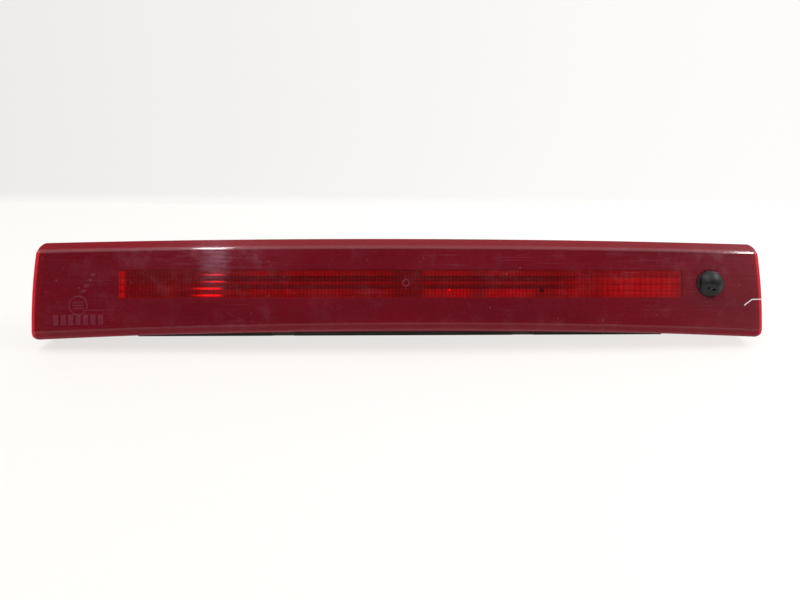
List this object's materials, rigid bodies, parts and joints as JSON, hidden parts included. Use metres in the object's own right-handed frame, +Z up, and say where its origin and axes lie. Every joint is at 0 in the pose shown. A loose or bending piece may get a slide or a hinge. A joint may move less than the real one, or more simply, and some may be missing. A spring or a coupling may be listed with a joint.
{
  "type": "third brake light",
  "caption": "Arched high-mounted brake light bar with red lens, fluted LED window, rear harness socket, push-in clips and an aimable washer jet with check valve.",
  "frame": {"origin": "on the mounting plane (rear face of the body gasket), at the middle of the lamp, level with the centre line of the light window", "axes": "+X along the lamp towards the washer jet, +Y out of the mounting face into the body, +Z up; the lens faces -Y"},
  "size_m": [0.31, 0.05, 0.0417],
  "materials": {
    "red_lens": "dark red clear acrylic, polished",
    "black_mask": "moulded black",
    "clear_optic": "red tinted fluted acrylic",
    "bright_reflector": "vacuum metallised",
    "board_laminate": "green solder mask",
    "led_epoxy": "clear red epoxy",
    "tinned_metal": "tinned",
    "component_black": "moulded epoxy",
    "capacitor_tan": "ceramic",
    "black_nylon": "glass-filled nylon",
    "seal_rubber": "soft matt",
    "zinc_steel": "zinc plated",
    "black_housing": "fine spark-eroded texture",
    "grey_sealant": "hot-melt bead",
    "foam_gasket": "closed-cell foam",
    "white_membrane": "woven vent membrane",
    "spring_steel": "phosphated spring steel",
    "jet_black": "worn satin",
    "nozzle_grey": "acetal"
  },
  "bodies": {
    "lamp_body": {"outer_lens": "red_lens", "bezel_mask": "black_mask", "optic_plate": "clear_optic", "reflector": "bright_reflector", "circuit_board": "board_laminate", "led_packages": "led_epoxy", "led_leads": "tinned_metal", "series_resistors": "component_black", "protection_diode": "component_black", "suppressor_capacitor": "capacitor_tan", "connector_terminals": "tinned_metal", "connector_header": "black_nylon", "connector_seal": "seal_rubber", "board_screws": "zinc_steel", "rear_housing": "black_housing", "lens_sealant": "grey_sealant", "body_gasket": "foam_gasket", "breather_membrane": "white_membrane", "breather_cap": "black_nylon", "clip_saddles": "spring_steel", "jet_head": "jet_black", "jet_head_seal": "seal_rubber", "jet_barrel": "black_nylon", "jet_lock_nut": "black_nylon", "valve_seat": "seal_rubber", "valve_spring_stop": "black_nylon", "valve_spring": "spring_steel"},
    "left_upper_wing": {"left_upper_wing": "spring_steel"},
    "left_lower_wing": {"left_lower_wing": "spring_steel"},
    "right_upper_wing": {"right_upper_wing": "spring_steel"},
    "right_lower_wing": {"right_lower_wing": "spring_steel"},
    "jet_cartridge": {"jet_cartridge": "jet_black"},
    "jet_ball": {"jet_ball": "nozzle_grey"},
    "valve_ball": {"valve_ball": "zinc_steel"}
  },
  "joints": [
    {"name": "left_upper_wing_flex", "type": "hinge", "parent": "lamp_body", "child": "left_upper_wing", "pos_m": [-0.053, 0.0112, -0.00905], "axis": [1, 0, 0], "range_deg": [0, 10], "stiffness_Nm_per_rad": 0.05},
    {"name": "left_lower_wing_flex", "type": "hinge", "parent": "lamp_body", "child": "left_lower_wing", "pos_m": [-0.053, 0.0112, -0.01395], "axis": [-1, 0, 0], "range_deg": [0, 10], "stiffness_Nm_per_rad": 0.05},
    {"name": "right_upper_wing_flex", "type": "hinge", "parent": "lamp_body", "child": "right_upper_wing", "pos_m": [0.053, 0.0112, -0.00905], "axis": [1, 0, 0], "range_deg": [0, 10], "stiffness_Nm_per_rad": 0.05},
    {"name": "right_lower_wing_flex", "type": "hinge", "parent": "lamp_body", "child": "right_lower_wing", "pos_m": [0.053, 0.0112, -0.01395], "axis": [-1, 0, 0], "range_deg": [0, 10], "stiffness_Nm_per_rad": 0.05},
    {"name": "jet_turn", "type": "hinge", "parent": "lamp_body", "child": "jet_cartridge", "pos_m": [0.1295, -0.0264, -0.0023], "axis": [-0.3307, -0.7015, -0.6313], "range_deg": [-60, 60]},
    {"name": "jet_tilt", "type": "hinge", "parent": "jet_cartridge", "child": "jet_ball", "pos_m": [0.13005, -0.02524, -0.00126], "axis": [0.187, -0.7044, 0.6847], "range_deg": [-12, 12]},
    {"name": "valve_open", "type": "slide", "parent": "lamp_body", "child": "valve_ball", "axis": [0, -1, 0], "range_m": [0, 0.001], "stiffness_N_per_m": 60, "deforming": ["valve_spring"]}
  ],
  "couplings": [
    {"joint": "left_lower_wing_flex", "follows": "left_upper_wing_flex", "ratio": 1},
    {"joint": "right_lower_wing_flex", "follows": "right_upper_wing_flex", "ratio": 1}
  ]
}
